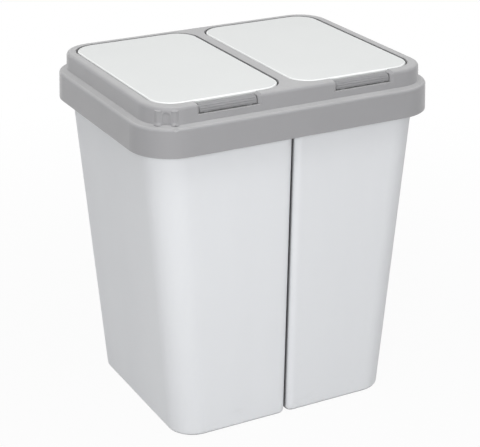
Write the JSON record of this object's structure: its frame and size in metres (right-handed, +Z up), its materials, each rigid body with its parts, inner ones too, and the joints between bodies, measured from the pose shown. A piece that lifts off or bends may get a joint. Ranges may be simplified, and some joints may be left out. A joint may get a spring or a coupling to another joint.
{
  "type": "double recycling bin",
  "caption": "Twin recycling bin: two tapered buckets side by side under one shared frame with two hinged push-button lids.",
  "frame": {"origin": "on the floor under the middle of the whole bin", "axes": "+X towards the right bucket as seen from the front, front with the press buttons towards -Y, +Z up"},
  "size_m": [0.445, 0.348, 0.497],
  "materials": {
    "bucket_plastic": "fine satin moulded polypropylene, light grey",
    "frame_plastic": "fine matte moulded polypropylene, mid grey",
    "lid_plastic": "fine satin moulded polypropylene, off white",
    "button_plastic": "satin moulded plastic, mid grey",
    "cover_plastic": "moulded plastic, darker grey",
    "pin_steel": "drawn steel rod",
    "spring_steel": "bright spring wire",
    "screw_steel": "zinc plated steel",
    "pad_rubber": "soft black rubber"
  },
  "bodies": {
    "buckets": {"left_bucket": "bucket_plastic", "right_bucket": "bucket_plastic"},
    "frame": {"lid_frame": "frame_plastic", "left_lid_spring": "spring_steel", "right_lid_spring": "spring_steel", "left_button_springs": "spring_steel", "right_button_springs": "spring_steel", "left_latch_cover": "cover_plastic", "right_latch_cover": "cover_plastic", "left_cover_screws": "screw_steel", "right_cover_screws": "screw_steel", "left_rest_pads": "pad_rubber", "right_rest_pads": "pad_rubber"},
    "left_lid": {"left_lid": "lid_plastic", "left_outer_hinge_pin": "pin_steel", "left_inner_hinge_pin": "pin_steel"},
    "right_lid": {"right_lid": "lid_plastic", "right_outer_hinge_pin": "pin_steel", "right_inner_hinge_pin": "pin_steel"},
    "left_button": {"left_press_button": "button_plastic"},
    "right_button": {"right_press_button": "button_plastic"}
  },
  "joints": [
    {"name": "frame_lift", "type": "slide", "parent": "buckets", "child": "frame", "axis": [0, 0, 1], "range_m": [0, 0.15]},
    {"name": "left_lid_hinge", "type": "hinge", "parent": "frame", "child": "left_lid", "pos_m": [-0.10135, 0.1186, 0.489], "axis": [-1, 0, 0], "range_deg": [0, 95]},
    {"name": "right_lid_hinge", "type": "hinge", "parent": "frame", "child": "right_lid", "pos_m": [0.10135, 0.1186, 0.489], "axis": [-1, 0, 0], "range_deg": [0, 95]},
    {"name": "left_button_press", "type": "slide", "parent": "frame", "child": "left_button", "axis": [0, 1, 0], "range_m": [0, 0.0025], "stiffness_N_per_m": 400, "springref_m": -0.003, "deforming": ["left_button_springs"]},
    {"name": "right_button_press", "type": "slide", "parent": "frame", "child": "right_button", "axis": [0, 1, 0], "range_m": [0, 0.0025], "stiffness_N_per_m": 400, "springref_m": -0.003, "deforming": ["right_button_springs"]}
  ]
}
